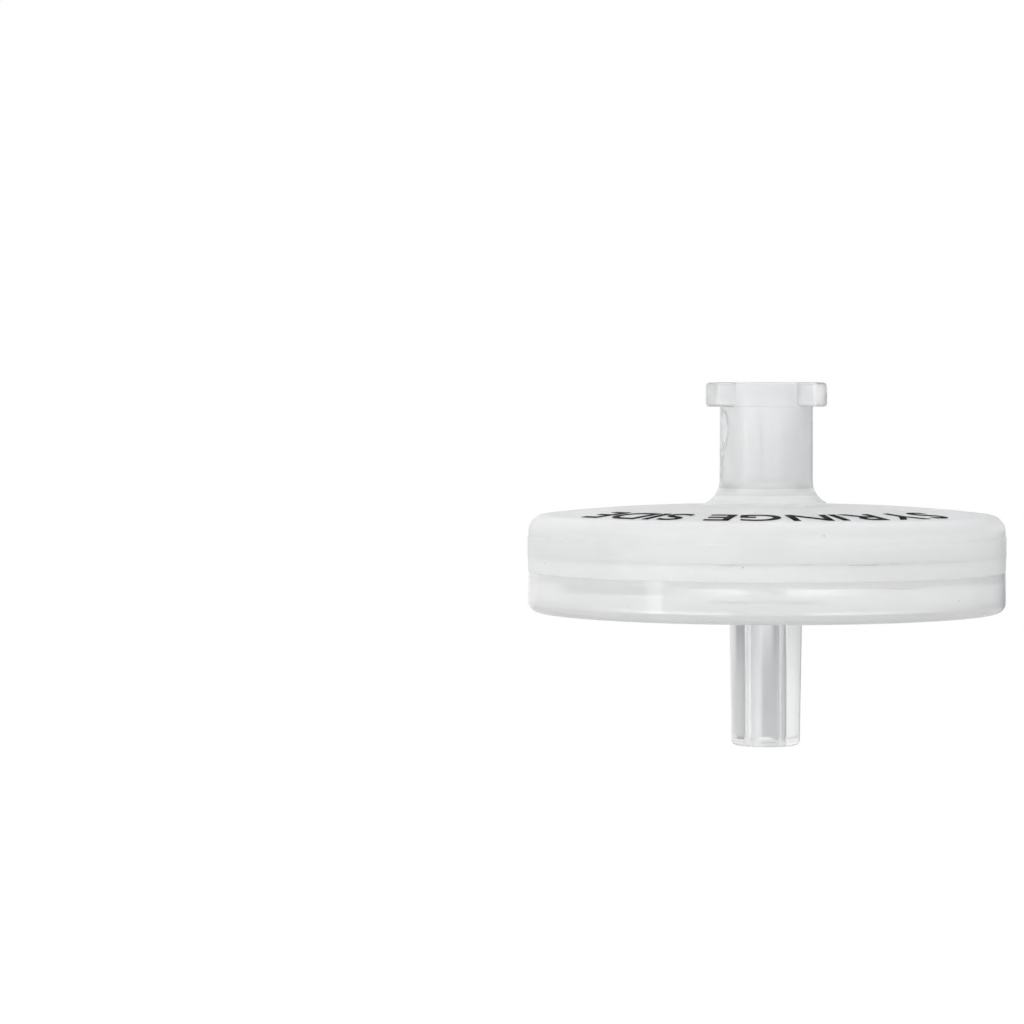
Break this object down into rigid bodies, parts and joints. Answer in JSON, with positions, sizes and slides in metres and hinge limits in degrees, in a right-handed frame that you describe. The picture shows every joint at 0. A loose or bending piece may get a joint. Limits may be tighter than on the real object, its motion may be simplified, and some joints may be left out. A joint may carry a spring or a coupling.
{
  "type": "syringe filter",
  "caption": "Round disposable syringe filter: a membrane clamped in a crowned disc housing, with a Luer-lock inlet above and a Luer slip outlet below.",
  "frame": {"origin": "centre of the Luer-lock inlet's mouth, on its end face", "axes": "+Z along the flow axis, out of the inlet towards the syringe; +X through one of the lugs"},
  "size_m": [0.0294, 0.0294, 0.0224],
  "materials": {
    "inlet_housing": "milky translucent polypropylene, satin",
    "outlet_housing": "clear to slightly milky polypropylene, glossy",
    "membrane": "matt white porous film",
    "print": "black pad-printed ink"
  },
  "bodies": {
    "root": {"inlet_housing": "inlet_housing", "membrane": "membrane", "outlet_housing": "outlet_housing"}
  },
  "joints": []
}
